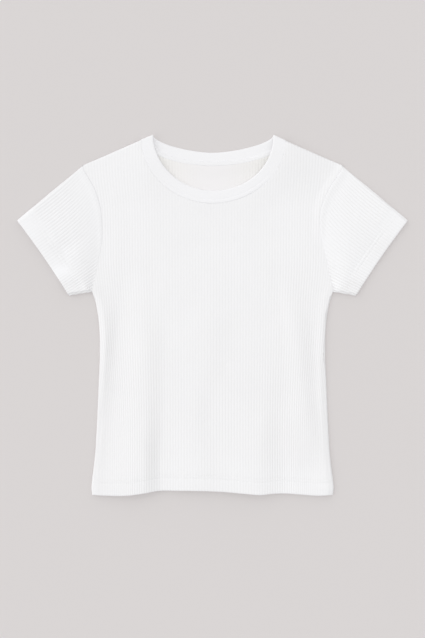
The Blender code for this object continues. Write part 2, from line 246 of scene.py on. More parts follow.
def cloth_wall(name, middle, knit, rib_height, whiteness=0.0, pitch=RIB_PITCH, closed=False,
               skip=(3, 3)):
    """A thin closed wall of ribbed cloth round a grid of points.

    Its face has the full grid and its inner side has every skip-th row and column.
    knit holds each point's (rib, course) place in metres. whiteness is how far the colour
    turns to the material's white: 1 where so many layers lie below that no table shows
    through, and on the back's inside how far its painted shade turns pinker. Ribs that meet
    the table are pressed flat.
    """
    rows, columns = middle.shape[:2]
    normal = wall_normals(middle, closed)
    rib_height = rib_height + np.zeros((rows, columns))
    whiteness = whiteness + np.zeros((rows, columns))
    # Valleys are sunk a little further than crests stand out.
    relief = rib_height * (0.5 * np.cos(2 * np.pi * knit[..., 0] / pitch) - 0.1)
    face = middle + normal * (WALL / 2 + relief)[..., None]
    inner_relief = relief * (0.5 if max(skip) == 1 else 0)
    inner = middle - normal * (WALL / 2 + inner_relief)[..., None]
    kept_rows = sorted(set(range(0, rows, skip[0])) | {rows - 1})
    kept_columns = list(range(0, columns, skip[1]))
    if not closed:
        kept_columns = sorted(set(kept_columns) | {columns - 1})
    kept = np.ix_(kept_rows, kept_columns)
    points = np.concatenate([face.reshape(-1, 3), inner[kept].reshape(-1, 3)])
    points[:, 2] = np.maximum(points[:, 2], TABLE_CLEAR)
    places = np.concatenate([knit.reshape(-1, 2), knit[kept].reshape(-1, 2)])
    shares = {"rib_strength": rib_height / RIB_DEPTH, "whiteness": whiteness}

    def quads(row_count, column_count, first):
        """Corner numbers of a grid's faces."""
        spans = column_count if closed else column_count - 1
        row, column = np.meshgrid(np.arange(row_count - 1), np.arange(spans), indexing="ij")
        here = first + row * column_count
        after = (column + 1) % column_count
        corners = [here + column, here + after,
                   here + column_count + after, here + column_count + column]
        return np.stack(corners, -1).reshape(-1, 4)

    def rim(full, sparse):
        """A row of faces that joins the face's edge to the inner side's."""
        made = []
        for k in range(len(sparse) - 1):
            start, end = sparse[k][0], sparse[k + 1][0]
            made.append([full[i % len(full)] for i in range(start, end + 1)]
                        + [sparse[k + 1][1], sparse[k][1]])
        return made

    first = rows * columns
    wide = len(kept_columns)
    faces = quads(rows, columns, 0).tolist()
    faces += quads(len(kept_rows), wide, first)[:, ::-1].tolist()
    rounded = len(faces)
    for row, inner_row, turn in ((0, 0, -1), (rows - 1, len(kept_rows) - 1, 1)):
        sparse = [(c, first + inner_row * wide + k) for k, c in enumerate(kept_columns)]
        if closed:
            sparse.append((columns, first + inner_row * wide))
        full = [row * columns + c for c in range(columns)]
        faces += [face[::turn] for face in rim(full, sparse)]
    if not closed:
        for column, inner_column, turn in ((0, 0, 1), (columns - 1, wide - 1, -1)):
            sparse = [(r, first + k * wide + inner_column) for k, r in enumerate(kept_rows)]
            full = [r * columns + column for r in range(rows)]
            faces += [face[::turn] for face in rim(full, sparse)]

    mesh = bpy.data.meshes.new(name)
    mesh.from_pydata(points.tolist(), [], faces)
    corner = np.empty(len(mesh.loops), np.int32)
    mesh.loops.foreach_get("vertex_index", corner)
    layer = mesh.uv_layers.new(name="knit")
    layer.data.foreach_set("uv", places[corner].astype(np.float32).ravel())
    for key, share in shares.items():
        each = np.concatenate([share.ravel(), share[kept].ravel()]).astype(np.float32)
        mesh.attributes.new(key, "FLOAT", "POINT").data.foreach_set("value", each)
    mesh.polygons.foreach_set("use_smooth", [i < rounded for i in range(len(faces))])
    piece = bpy.data.objects.new(name, mesh)
    bpy.context.scene.collection.objects.link(piece)
    return piece


class Value:
    """A shader socket that takes part in plain arithmetic."""

    def __init__(self, graph, socket):
        self.graph = graph
        self.socket = socket

    def _math(self, operation, *terms):
        return self.graph.node("Math", {"operation": operation}, *terms)

    def __add__(self, other):
        return self._math("ADD", self, other)

    __radd__ = __add__

    def __mul__(self, other):
        return self._math("MULTIPLY", self, other)

    __rmul__ = __mul__

    def __sub__(self, other):
        return self._math("SUBTRACT", self, other)

    def __rsub__(self, other):
        return self._math("SUBTRACT", other, self)

    def __truediv__(self, other):
        return self._math("DIVIDE", self, other)

    def __pow__(self, other):
        return self._math("POWER", self, other)

    def wave(self):
        """-1 to 1 and back, once for each whole step of the value."""
        return self._math("SINE", self * (2 * math.pi))

    def fraction(self):
        return self._math("FRACT", self)

    def size(self):
        return self._math("ABSOLUTE", self)


class Graph:
    """The node graph of one material."""

    def __init__(self, name, **constants):
        self.material = bpy.data.materials.new(name)
        self.material.use_nodes = True
        self.tree = self.material.node_tree
        self.shader = self.tree.nodes["Principled BSDF"]
        for socket, value in constants.items():
            self.shader.inputs[socket.replace("_", " ")].default_value = value

    def node(self, kind, settings, *inputs, output=0, **named):
        """Adds a node, sets it up, fills its sockets and returns one output."""
        made = self.tree.nodes.new("ShaderNode" + kind)
        for key, value in settings.items():
            setattr(made, key, value)
        filled = list(enumerate(inputs)) + [(k.replace("_", " "), v) for k, v in named.items()]
        for key, value in filled:
            if isinstance(value, Value):
                self.tree.links.new(value.socket, made.inputs[key])
            elif value is not None:
                made.inputs[key].default_value = value
        return Value(self, made.outputs[output])

    def blend(self, share, first, second):
        """A colour between two others."""
        return self.node("Mix", {"data_type": "RGBA"}, share,
                         None, None, None, None, None, first, second, output=2)

    def feed(self, socket, value):
        """Links a value to one of the shader's own sockets."""
        self.tree.links.new(value.socket, self.shader.inputs[socket])


# Painted shade: the grey that the rib valleys are painted towards.
VALLEY_PAINTED_SHADE = (0.58, 0.56, 0.54, 1)
FIBRE_SCALE = 2600.0               # loose fibres, finer than a loop
CLOUD_SCALE = 22.0                 # soft uneven patches, some centimetres across
LOOP_HEIGHT = 0.00008


def knit_cloth(name, light, shade, white, pitch, course, painted_valley_shade, loop_height=LOOP_HEIGHT,
               valley_height=0.00005):
    """Cotton knit: narrow valleys between ribs, loops along them, loose fibres.

    Its colour lies unevenly between light and shade, and is white where the piece is told
    so. Its rib valleys are also painted darker towards a grey, as painted shade: by
    painted_valley_shade, and more where the ribs are deeper. course is the length of one
    loop along a rib.
    """
    graph = Graph(name, Metallic=0.0, Sheen_Weight=0.1, Sheen_Roughness=0.6, IOR=1.4)
    place = graph.node("UVMap", {"uv_map": "knit"})
    rib = graph.node("SeparateXYZ", {}, place, output=0)
    along = graph.node("SeparateXYZ", {}, place, output=1)
    spot = graph.node("TexCoord", {}, output=3)
    strength = graph.node("Attribute", {"attribute_name": "rib_strength"}, output=2)
    whiteness = graph.node("Attribute", {"attribute_name": "whiteness"}, output=2)
    side = ((rib / pitch + 0.5).fraction() - 0.5).size() * 2
    valley = side ** 3 * strength
    loops = (along / course + side * 0.8).wave()
    fibres = graph.node("TexNoise", {}, Vector=spot, Scale=FIBRE_SCALE, Detail=3.0,
                        Roughness=0.7)
    cloud = graph.node("TexNoise", {}, Vector=spot, Scale=CLOUD_SCALE, Detail=2.0)
    height = (loops * 0.3 + fibres * 0.5) * loop_height - valley * valley_height
    cloth = graph.blend(cloud * 0.6 + fibres * 0.2, light, shade)
    cloth = graph.blend(whiteness, cloth, white)
    # Painted shade: the rib valleys are darkened towards that grey.
    graph.feed("Base Color", graph.blend(valley * painted_valley_shade, cloth, VALLEY_PAINTED_SHADE))
    graph.feed("Roughness", 0.84 + fibres * 0.12)
    graph.feed("Normal", graph.node("Bump", {}, Height=height, Distance=1.0, Strength=1.0))
    return graph.material


RIB_STEPS = 6                      # columns to a rib
EVEN_RIBS = 35 * RIB_PITCH         # the ribs beyond this one are cut by the sides
STEEP_NECK = 0.094                 # from here out the neckline is too steep for even columns
STEEP_COLUMNS = 27
TURN_COLUMNS = 7                   # round the rolled side
ROLL_RUN = 0.0045                  # the last run up to the neckline and the shoulder

Column = namedtuple("Column", "rib x top turn on_shoulder")


def panel_columns(seam):
    """Half a panel's columns: the rib each follows, where it ends, its turn at the side."""
    step = RIB_PITCH / RIB_STEPS
    inner = np.arange(0, STEEP_NECK, step)
    top = seam.shoulder_y - seam.depth + 0 * inner
    for _ in range(20):            # each round comes closer to where a rib meets the neckline
        top = neckline_y(seam, inner - drawn_in(inner, top))
    rise = np.linspace(top[-1], seam.shoulder_y, STEEP_COLUMNS + 1)[1:]
    down = (seam.shoulder_y - rise) / seam.depth
    steep_x = seam.half_width * (1 - down ** seam.roundness) ** (1 / seam.roundness)
    outer = np.arange(seam.half_width + 0.0012, SHOULDER_X - 0.0040, step)
    steep_rib = np.linspace(inner[-1], outer[0], len(rise) + 2)[1:-1]
    side_x = np.full(TURN_COLUMNS, SHOULDER_X)
    rib = np.concatenate([inner, steep_rib, outer, side_x])
    x = np.concatenate([inner - drawn_in(inner, top), steep_x, outer, side_x])
    top = np.concatenate([top, rise, shoulder_y(outer), np.full(TURN_COLUMNS, SHOULDER_Y)])
    not_turned = np.full(len(rib) - TURN_COLUMNS, -1.0)
    turn = np.concatenate([not_turned, np.linspace(0, 1, TURN_COLUMNS)])
    return Column(rib, x, top, turn, smoothstep(x, seam.half_width - 0.004, seam.half_width))


def panel_middle(layer, seam, height_of, row_shares):
    """Grid of points in the middle of a panel's wall, from inside its hem to its top.

    layer is 1 for the front and -1 for the back. row_shares says where its plain rows
    lie, from 0 above the hem to 1 below the neckline and the shoulders.
    """
    left, right = panel_columns(seam.left), panel_columns(seam.right)
    # From the left edge to the right one, with the middle column once.
    side = np.concatenate([-np.ones(len(left.rib) - 1), np.ones(len(right.rib))])
    rib, top_x, top, turn_share, on_shoulder = [
        np.concatenate([left_half[:0:-1], right_half]) for left_half, right_half in zip(left, right)]
    outer_share = np.maximum(rib - EVEN_RIBS, 0) / (SHOULDER_X - EVEN_RIBS)
    round_side = turn_share >= 0
    side_turn = np.maximum(turn_share, 0) * math.pi / 2

    def along_rib(y):
        """Distance from the middle of the rib that each column follows."""
        side_rib = body_rib(half_width(y, side), y)
        place = np.minimum(rib, EVEN_RIBS) + outer_share * (side_rib - EVEN_RIBS)
        return place - drawn_in(place, y)

    slip = np.where(rib < EVEN_RIBS, top_x - along_rib(top), 0)

    def across(y):
        """Distance of each column from the middle."""
        return along_rib(y) + slip * bump(top - y, 0.020)

    def row(y, shoulder_turn=0.0):
        """A row of points; y is each column's, shoulder_turn how far the shoulder rolls."""
        width = half_width(y, side)
        sewn = 1 - smoothstep(y, UNDERARM_Y - 0.008, UNDERARM_Y)
        rolled = WALL / 2 + edge_radius(side * width, y) * (1 - np.sin(side_turn))
        # Along the armhole the cloth ends a hair short of the sleeve.
        cut = np.where(side > 0, 0.00004, 0.0002 + 0.0003 * smoothstep(y, 0.09, 0.15))
        cut = cut * (1 - np.maximum(turn_share, 0))
        x = np.where(round_side, width - sewn * rolled - (1 - sewn) * cut, across(y))
        turn = np.where(round_side, side_turn * sewn, 0)
        bend = np.maximum(turn, on_shoulder * shoulder_turn)
        drop = edge_radius(side * x, y) * (1 - np.cos(bend))
        z = height_of(side * x, y) - layer * drop
        return np.stack([side * x, y + 0 * x, z], 1)

    hem = hem_y(side * across(SIDE_LINE[0].y + 0 * rib))
    grid = [row(hem + distance) - [0, 0, layer * LAYER_STEP]
            for distance in (HEM_DEPTH - 0.0015, HEM_DEPTH * 0.5)]
    for angle in np.radians([180, 150, 120, 90, 60, 30, 0]):
        point = row(hem + TURN_START)
        point[:, 1] -= TURN_RADIUS * math.sin(angle)
        point[:, 2] -= layer * TURN_RADIUS * (1 - math.cos(angle))
        grid.append(point)
    for distance in [0.004, 0.008, 0.012, 0.016, *np.arange(0.0178, 0.0275, 0.0011)]:
        grid.append(row(hem + distance))
    low = hem + 0.0295
    high = top - ROLL_RUN / math.cos(SHOULDER_SLOPE)
    for v in row_shares:
        grid.append(row(low + (high - low) * v))
    for v in np.linspace(0, 1, 7)[1:]:
        turn = max(v * 2 - 1, 0) * math.pi / 2
        bulge = np.minimum(edge_radius(side * rib, top), EDGE_BULGE)
        inward = (WALL / 2 + bulge * (1 - math.sin(turn))) / math.cos(SHOULDER_SLOPE)
        rolled = inward + 0.0016 * max(1 - v * 2, 0)
        below = ROLL_RUN * (1 - v)
        grid.append(row(top - below - (rolled - below) * on_shoulder, turn))
    return np.array(grid)


def back_height(x, y):
    """Height of the middle of the back panel's wall above the table."""
    crease = 0.0003 * bump(y - 0.2077, 0.0016) * bump(x - 0.009, 0.016)
    beyond_seam = np.maximum(from_neckline(BACK_SEAM, x, y), 0)
    at_neck = BACK_NECK_RISE * bump(beyond_seam, NECK_RISE_REACH)
    return WALL / 2 + needle_dent(y - hem_y(x)) * 0.5 + at_neck - crease


back_rows = np.append(np.linspace(0, 0.7, 20, endpoint=False), np.linspace(0.7, 1, 28))
back_middle = panel_middle(-1, BACK_SEAM, back_height, back_rows)
back_rib = body_rib(back_middle[..., 0], back_middle[..., 1])
# Below the middle of the neck the ribs are pressed out of sight. The same patch turns the
# inside's painted shade from warm yellow to a pinker tone.
smooth_patch_and_shade_tone = bump(back_middle[..., 0], 0.085) * smoothstep(back_middle[..., 1], 0.12, 0.17)
back_panel = cloth_wall("back_panel", back_middle,
                        np.stack([back_rib, back_middle[..., 1]], 2),
                        RIB_DEPTH * BACK_RIBS * (1 - smooth_patch_and_shade_tone), smooth_patch_and_shade_tone, skip=(1, 1))
RIB_COURSE = 0.0011
white_rib = knit_cloth("white_rib_knit", (0.887, 0.8845, 0.894, 1), (0.849, 0.8465, 0.854, 1),
                       (0.925, 0.926, 0.940, 1), RIB_PITCH, RIB_COURSE, painted_valley_shade=0.10)
# Painted shade: the inside is painted darker and warmer than the front's white, as the shade inside
# the neck, yellow towards the sides, and its rib valleys get deeper painted shade.
inside_painted_shade = knit_cloth("white_rib_inside_painted_shade", (0.886, 0.880, 0.845, 1), (0.850, 0.842, 0.805, 1),
                          (0.868, 0.853, 0.859, 1), RIB_PITCH, RIB_COURSE, painted_valley_shade=0.14)
# Its upper side is the garment's inside, painted with shade, and the side on the table the
# outside.
back_panel.data.materials.append(inside_painted_shade)
back_panel.data.materials.append(white_rib)
upper_faces = (back_middle.shape[0] - 1) * (back_middle.shape[1] - 1)
for polygon in back_panel.data.polygons[upper_faces:]:
    polygon.material_index = 1
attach(back_panel, "root")
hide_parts("back")


# ---- Front panel ------------------------------------------------------------------------
# The same rib knit with a deeper scooped neck, lying on the back. It keeps the soft
# upright flutes that it fell into, and its bottom edge is turned up and coverstitched.

LYING_FRONT = LAYER_STEP + WALL / 2    # the middle of its wall
HEM_SPRING = 0.0005                # the hem's layers stand a little apart
FRONT_NECK_RISE = 0.0013           # the seam's edges lie under the neckline
ARMHOLE_RISE = 0.0012              # the right armhole's seam is pressed towards the body

# The crests and troughs of its soft upright flutes, from left to right. Each is a line
# from the hem up to the chest, and the cloth swings evenly from each one to the next.
Flute = namedtuple("Flute", "y x lift")
FLUTES = [
    [Flute(-0.280, -0.186, 0.0008), Flute(-0.150, -0.176, 0.0003), Flute(-0.100, -0.171, 0.0013),
     Flute(-0.040, -0.166, 0.0024), Flute(0.000, -0.166, 0.0018), Flute(0.040, -0.176, 0.0002),
     Flute(0.110, -0.175, 0)],
    [Flute(-0.280, -0.172, 0.0008), Flute(-0.225, -0.174, 0.0006),
     Flute(-0.190, -0.168, 0.0008), Flute(-0.150, -0.158, 0.0003),
     Flute(-0.040, -0.146, 0.0004), Flute(0.040, -0.142, 0.0001),
     Flute(0.110, -0.140, 0.0007), Flute(0.180, -0.138, 0)],
    [Flute(-0.280, -0.107, 0.0040), Flute(-0.235, -0.106, 0.0060),
     Flute(-0.200, -0.106, 0.0056), Flute(-0.150, -0.104, 0.0040),
     Flute(-0.035, -0.101, 0.0031), Flute(0.045, -0.100, 0.0015), Flute(0.110, -0.100, 0.0010),
     Flute(0.180, -0.100, 0.0003)],
    [Flute(-0.280, -0.076, 0.0007), Flute(-0.235, -0.078, 0.0011), Flute(-0.150, -0.074, 0.0012),
     Flute(-0.075, -0.071, 0.0017), Flute(0.040, -0.072, 0.0021), Flute(0.110, -0.072, 0.0008),
     Flute(0.180, -0.070, 0.0002)],
    [Flute(-0.280, -0.016, 0.0024), Flute(-0.235, -0.016, 0.0033),
     Flute(-0.150, -0.029, 0.0020), Flute(-0.075, -0.014, 0.0024),
     Flute(-0.035, -0.010, 0.0032), Flute(0.040, -0.005, 0.0022), Flute(0.110, 0, 0)],
    [Flute(-0.280, 0.015, 0.0022), Flute(-0.235, 0.010, 0.0028),
     Flute(-0.150, 0, 0.0012), Flute(-0.035, 0.035, 0.0022), Flute(0.040, 0.035, 0.0019),
     Flute(0.110, 0.035, 0)],
    [Flute(-0.280, 0.067, 0.0036), Flute(-0.235, 0.069, 0.0040),
     Flute(-0.190, 0.071, 0.0027), Flute(-0.150, 0.074, 0.0015),
     Flute(-0.035, 0.086, 0.0028), Flute(0.040, 0.082, 0.0016), Flute(0.110, 0.080, 0)],
    [Flute(-0.280, 0.116, 0.0005), Flute(-0.235, 0.116, 0.0004), Flute(-0.190, 0.106, 0.0003),
     Flute(-0.150, 0.106, 0.0004), Flute(-0.035, 0.104, 0.0030), Flute(0.040, 0.100, 0.0013),
     Flute(0.110, 0.100, 0)],
    [Flute(-0.280, 0.150, 0.0005), Flute(-0.235, 0.150, 0),
     Flute(-0.190, 0.147, 0.0014), Flute(-0.110, 0.138, 0.0031),
     Flute(-0.035, 0.130, 0.0042), Flute(0.040, 0.116, 0.0016), Flute(0.110, 0.110, 0)],
    [Flute(-0.280, 0.186, 0.0010), Flute(-0.190, 0.170, 0.0008), Flute(-0.150, 0.164, 0.0011),
     Flute(-0.110, 0.161, 0.0016), Flute(-0.035, 0.158, 0.0022), Flute(0.040, 0.150, 0.0009),
     Flute(0.110, 0.145, 0.0003), Flute(0.180, 0.145, 0)],
]
FLUTE_SWELL = 1.6                  # all their lifts are multiplied by this


def flute_lift(x, y):
    """Lift of the soft flutes."""
    lines = [(smooth_value([(at.y, at.x) for at in line], y),
              smooth_value([(at.y, at.lift) for at in line], y)) for line in FLUTES]
    lift = lines[0][1]
    for (start, low), (end, high) in zip(lines, lines[1:]):
        lift = lift + (high - low) * smoothstep(x, start, end)
    return FLUTE_SWELL * np.maximum(lift, 0)


def front_height(x, y):
    """Height of the middle of the front panel's wall above the table."""
    to_side = half_width(y, np.sign(x)) - np.abs(x)
    side = np.hypot(to_side, np.maximum(y - UNDERARM_Y, 0))
    shoulder = (shoulder_y(x) - y) * math.cos(SHOULDER_SLOPE)
    beside_neck = smoothstep(np.abs(x), 0.097, 0.119)
    roll = np.maximum(edge_roll(side), beside_neck * edge_roll(shoulder))
    hem = hem_share(x, y)
    edge = pressed_edge(y) - WALL / 2 - LYING_FRONT
    lift = hem * (2 * LAYER_STEP + HEM_SPRING) + (1 - hem) * edge * roll
    lift = lift + neck_lift(x, y) - needle_dent(y - hem_y(x))
    beyond_seam = np.maximum(from_neckline(FRONT_SEAM, x, y), 0)
    at_neck = FRONT_NECK_RISE * bump(beyond_seam, 0.014 + 0.016 * smoothstep(x, 0.0, 0.08))
    at_neck = at_neck * (1 - 0.35 * smoothstep(-x, 0.05, 0.095))
    pressed = ARMHOLE_RISE * (x > 0) * (1 - smoothstep(to_side, 0.0, 0.014))
    lift = lift + pressed * smoothstep(y, 0.10, 0.14)
    calm = smoothstep(side, 0.001, 0.010)
    fold = calm * flute_lift(x, y) + (1 - calm) * side_puff(x, y)
    return LYING_FRONT + lift + at_neck + fold


front_rows = np.append(np.linspace(0, 0.76, 68, endpoint=False), np.linspace(0.76, 1, 54))
front_middle = panel_middle(1, FRONT_SEAM, front_height, front_rows)
front_x, front_y = front_middle[..., 0], front_middle[..., 1]
outwards = np.abs(front_x)
# The ribs stand out most near the sides and the hem, and least on the stretched chest.
front_depth = 1.1 + 0.6 * smoothstep(outwards, 0.04, 0.14)
front_depth *= 1 - 0.3 * smoothstep(front_y, 0.05, 0.18)
front_depth *= 1.2 - 0.35 * smoothstep(front_y, -0.18, 0.0)
# The cloth is whiter over the layers of the hem and beside the armholes.
front_white = 0.25 + 0.35 * smoothstep(front_x, 0.05, 0.12)
front_white *= hem_share(front_x, front_y) ** 10
front_white += 0.04 * smoothstep(front_y, -0.20, -0.10)
front_white += 0.12 * smoothstep(outwards, 0.05, 0.13) * smoothstep(front_y, 0.02, 0.10)
front_knit = np.stack([body_rib(front_x, front_y), front_y], 2)
front_panel = cloth_wall("front_panel", front_middle, front_knit, RIB_DEPTH * front_depth,
                         front_white)
front_panel.data.materials.append(white_rib)
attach(front_panel, "root")
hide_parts("front")


# ---- Hem stitches -----------------------------------------------------------------------
# Two rows of white thread hold the turned-up hem. They run all round, and lie in the dents
# that they pull into the cloth.

STITCH_LENGTH, STITCH_PITCH = 0.0024, 0.0030
THREAD = 0.00022                   # half the thread's thickness
THREAD_PROUD = 0.0001              # how far the middle of a thread lies above the cloth

thread_graph = Graph("white_thread", Roughness=0.55)
thread_spot = thread_graph.node("TexCoord", {}, output=3)
thread_twist = thread_graph.node("TexWave", {"bands_direction": "DIAGONAL"},
                                 Vector=thread_spot, Scale=900.0, Distortion=0.5)
thread_graph.feed("Base Color", thread_graph.blend(
    thread_twist, (0.90, 0.90, 0.90, 1), (0.84, 0.84, 0.84, 1)))
thread_graph.feed("Normal", thread_graph.node("Bump", {}, Height=thread_twist,
                                              Distance=0.0001, Strength=0.5))
white_thread = thread_graph.material


def even_points(line, pitch):
    """Places at an even pitch along a line of points, and the line's direction there."""
    line = np.asarray(line)
    length = np.concatenate([[0], np.cumsum(np.linalg.norm(np.diff(line, axis=0), axis=1))])
    at = np.arange(pitch / 2, length[-1], pitch)
    place = np.stack([np.interp(at, length, axis) for axis in line.T], 1)
    ahead = np.stack([np.interp(at + pitch / 4, length, axis) for axis in line.T], 1)
    return zip(place, ahead - place)


def thread_rows(name, lines, length=STITCH_LENGTH, pitch=STITCH_PITCH, thread=THREAD, slant=0):
    """Short lengths of thread along each line, as one piece."""
    bpy.ops.object.select_all(action="DESELECT")
    bpy.ops.mesh.primitive_uv_sphere_add(segments=8, ring_count=6, radius=1)
    stitch = bpy.context.object
    stitch.name = name
    stitch.data.materials.append(white_thread)
    bpy.ops.object.shade_smooth()
    scale = Matrix.Diagonal((thread, thread, length / 2, 1))
    placed = []
    for line in lines:
        for number, (place, direction) in enumerate(even_points(line, pitch)):
            copy = stitch.copy()
            copy.data = stitch.data
            lie = Vector(direction).to_track_quat("Z", "Y").to_matrix().to_4x4()
            lean = Matrix.Rotation(slant * (-1) ** number, 4, (0, 1, 0))
            copy.matrix_world = Matrix.Translation(place) @ lie @ lean @ scale
            bpy.context.scene.collection.objects.link(copy)
            placed.append(copy)
    bpy.data.objects.remove(stitch)
    for copy in placed:
        copy.select_set(True)
    bpy.context.view_layer.objects.active = placed[0]
    bpy.ops.object.join()
    joined = bpy.context.object
    joined.name = name
    bpy.ops.object.transform_apply(location=True, rotation=True, scale=True)
    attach(joined, "root")
    return joined


HEM_STITCHES_END = 0.180           # where they run into the side seams


def hem_line(inset, height_of, layer):
    """A needle row across one panel."""
    x = np.linspace(-HEM_STITCHES_END, HEM_STITCHES_END, 181)
    y = hem_y(x) + inset
    z = height_of(x, y) + layer * (WALL / 2 + THREAD_PROUD)
    return np.stack([x, y, np.maximum(z, THREAD + TABLE_CLEAR)], 1)


front_hem_stitches = thread_rows("front_hem_stitches",
                                 [hem_line(row.inset, front_height, 1) for row in HEM_ROWS])
back_hem_stitches = thread_rows("back_hem_stitches",
                                [hem_line(row.inset, back_height, -1) for row in HEM_ROWS])


# ---- Sleeves ----------------------------------------------------------------------------
# Each is one piece of the same knit, sewn into a tube along the underarm and set into the
# armhole. Its ribs run up from the cuff, which is turned in and coverstitched.

CUFF_TOP = np.array([0.3004, 0.1452, 0])
CUFF_BOTTOM = np.array([0.2204, 0.0295, 0])
CUFF_BOW = 0.0018                  # the cuff's edge bows in by this much in its middle
CUFF_DEPTH = 0.0260
SLEEVE_RUN = 0.095                 # about the length from the armhole to the turned-in cuff
CUFF_ROWS = [NeedleRow(0.0185, 0.0004), NeedleRow(0.0240, 0.0004)]
shoulder_end = np.array([SHOULDER_X, SHOULDER_Y, 0])
underarm_end = np.array([half_width(UNDERARM_Y), UNDERARM_Y, 0])
cuff_line = CUFF_BOTTOM - CUFF_TOP
cuff_length = np.linalg.norm(cuff_line)
cuff_down = cuff_line / cuff_length
cuff_out = np.array([-cuff_down[1], cuff_down[0], 0])
top_edge = shoulder_end - CUFF_TOP
underarm_edge = underarm_end - CUFF_BOTTOM
armhole_reach = SHOULDER_Y - UNDERARM_Y
UP = np.array([0, 0, 1.0])

UPPER_POINTS, LOWER_POINTS, TURN_POINTS = 250, 130, 11     # round one ring of a sleeve
SLEEVE_CREASE = 0.0016             # the broad swell along the sleeve's middle
CUFF_HOLLOW = 0.0021               # a hollow pressed into the left cuff and above it
LEFT_RIDGE, RIGHT_RIDGE = 0.0004, 0.0012   # the seam's edges show through beside the seam
PUCKER = 0.0008                    # small folds at the underarm
LEFT_SPRING, RIGHT_SPRING = 0.0018, 0.0006     # the cuff's layers stand apart


def sleeve_height(side, along, share, width, distance):
    """Height of the middle of the sleeve's upper cloth above the table.

    along runs from 0 at the armhole to 1 at the top of the turned-in cuff, share from 0
    at the shoulder to 1 at the underarm, and distance is what is left to the cuff's edge.
    """
    lift = smoothstep(along, 0, 1)
    roll = 0.3 * edge_roll(share * width) + (1.2 + 0.6 * lift) * edge_roll((1 - share) * width)
    roll = roll * 0.001
    crease = SLEEVE_CREASE * np.sin(math.pi * along) * np.sin(math.pi * share) ** 2
    middle = smoothstep(share, 0.20, 0.34) * (1 - smoothstep(share, 0.62, 0.76))
    dent = needle_dent(distance, CUFF_ROWS) * (0.3 + 0.7 * middle)
    from_seam = along * SLEEVE_RUN
    inward = distance + SLEEVE_RUN - from_seam
    sunk = bump(inward - 0.033, 0.009 if inward < 0.033 else 0.032)
    hollow = CUFF_HOLLOW * bump(share - 0.51, 0.09) * sunk * (side < 0)
    if side > 0:
        ridge = RIGHT_RIDGE * (1 - smoothstep(from_seam, 0.0, 0.013))
        ridge = ridge * (1 - smoothstep(share, 0.46, 0.67))
        sunk_seam = 0.0003 + 0.0002 * (1 - smoothstep(share, 0.12, 0.32))
        ridge = ridge - sunk_seam * bump(from_seam, 0.002)
    else:
        ridge = LEFT_RIDGE * (1 - smoothstep(share, 0.50, 0.75)) * bump(from_seam - 0.0055, 0.0036)
    pucker = PUCKER * smoothstep(share, 0.92, 0.98) * np.sin(along * 29 + share * 40 + side)
    pucker = pucker * smoothstep(along, 0.03, 0.25) * (1 - smoothstep(along, 0.60, 0.90))
    raised = 2 * LAYER_STEP + (RIGHT_SPRING if side > 0 else LEFT_SPRING)
    return LYING_FRONT + raised * lift + roll + crease + ridge + pucker - dent - hollow


RIB_SPAN = 0.1                     # the length that the ribs' bends are given for
LEFT_FAN, RIGHT_FAN = 0.025, 0.080     # how far the ribs near the underarm fan out


def sleeve_rib(point, side):
    """Which rib of the sleeve a point lies on, and how far up the rib it is."""
    from_cuff = point - CUFF_TOP
    across = from_cuff @ cuff_down
    inward = -(from_cuff @ cuff_out)
    down, up = across / RIB_SPAN, np.maximum(inward, 0) / RIB_SPAN
    fan = RIGHT_FAN if side > 0 else LEFT_FAN
    packed = 0.25 * np.maximum(down - 0.9, 0) ** 2
    bend = 0.057 * up ** 3 + 0.064 * down * up ** 3 - fan * down ** 3 * up + packed
    return across + RIB_SPAN * bend, inward


